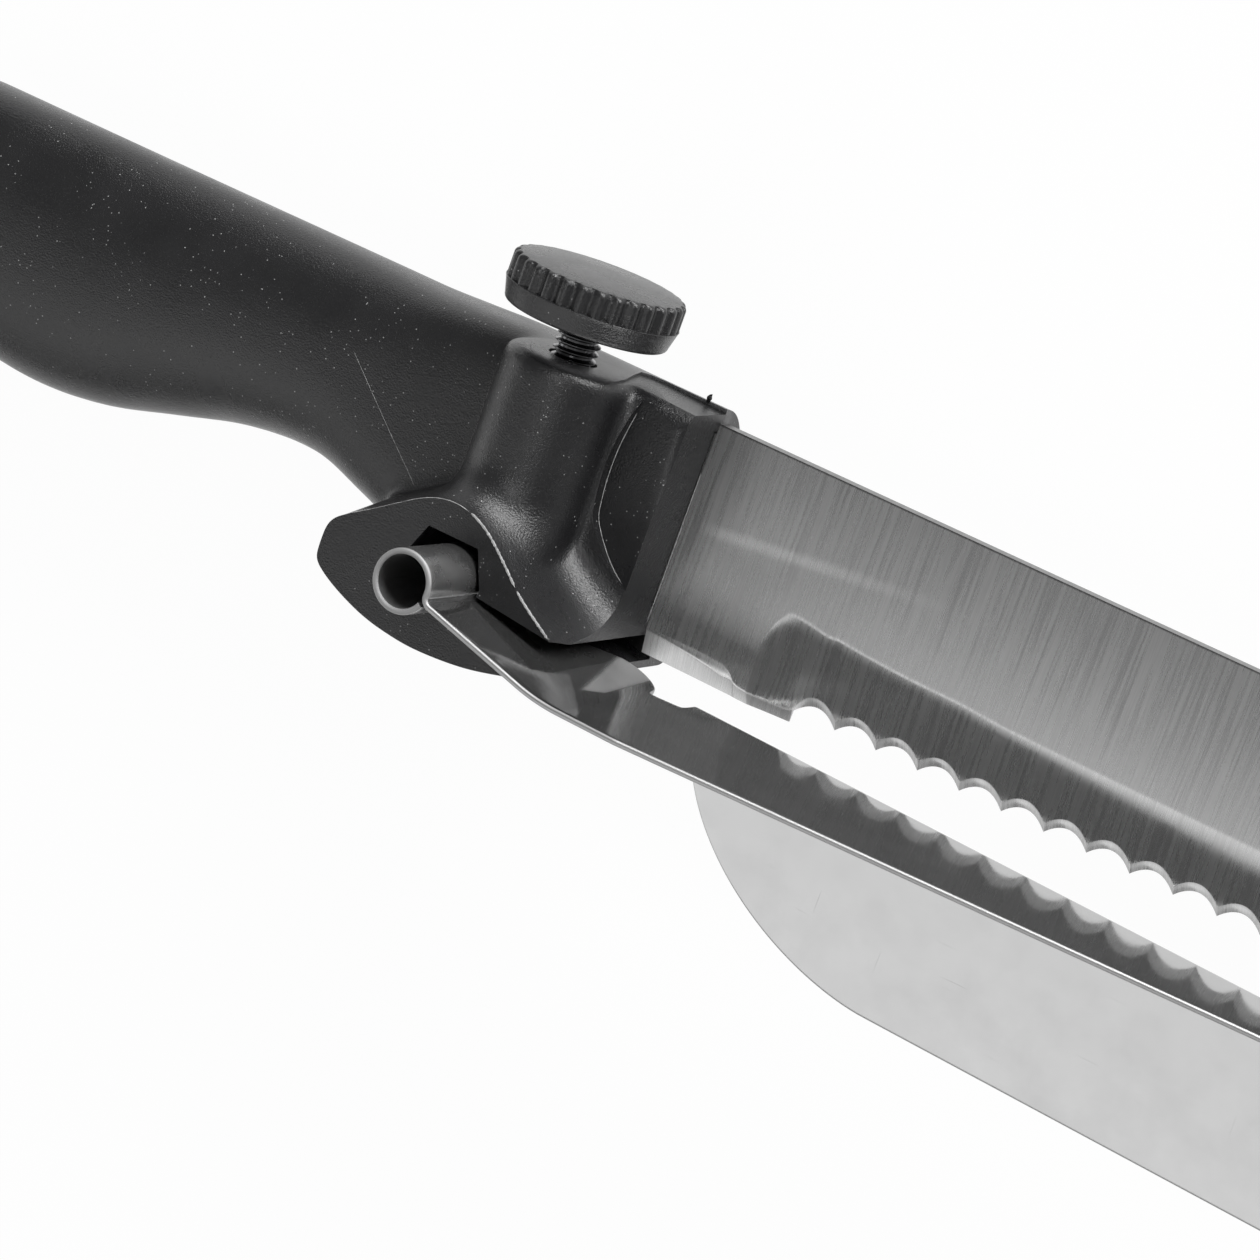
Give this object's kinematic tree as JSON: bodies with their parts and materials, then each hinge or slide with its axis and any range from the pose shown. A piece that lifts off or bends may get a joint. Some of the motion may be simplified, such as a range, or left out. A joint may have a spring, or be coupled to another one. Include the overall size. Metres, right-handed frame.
{
  "type": "slicing knife with slice guide",
  "caption": "Serrated slicing knife with a black moulded handle and a bent steel guide, clamped by a knurled thumbscrew, whose fence sets the slice thickness.",
  "frame": {"origin": "on the flat back of the handle's block, below the axis of the clamping screw and level with the middle of the blade's height; the knife lies on its flat back", "axes": "+X along the blade to its tip, +Y across the blade to its spine and along the clamping screw to its knob, +Z away from the table to the side of the slice guide"},
  "size_m": [0.3346, 0.0762, 0.046],
  "materials": {
    "handle_plastic": "moulded black plastic with a soft sheen",
    "blade_steel": "satin ground across the blade",
    "guide_steel": "polished spring steel sheet",
    "stud_steel": "bright plated thread",
    "knob_plastic": "moulded black plastic",
    "insert_brass": "turned brass"
  },
  "bodies": {
    "handle": {"handle": "handle_plastic", "blade": "blade_steel", "thread_insert": "insert_brass"},
    "guide": {"slice_guide": "guide_steel"},
    "screw": {"clamp_stud": "stud_steel"},
    "knob": {"clamp_knob": "knob_plastic"}
  },
  "joints": [
    {"name": "guide_slide", "type": "slide", "parent": "handle", "child": "guide", "axis": [0, 0, 1], "range_m": [-0.005, 0.0135]},
    {"name": "screw_travel", "type": "slide", "parent": "handle", "child": "screw", "axis": [0, 1, 0], "range_m": [0, 0.006]},
    {"name": "knob_turn", "type": "hinge", "parent": "screw", "child": "knob", "pos_m": [0, 0.0153, 0.0209], "axis": [0, 1, 0], "range_deg": [0, 2170]}
  ],
  "couplings": [
    {"joint": "knob_turn", "follows": "screw_travel", "rad_per_m": 6283.2}
  ]
}
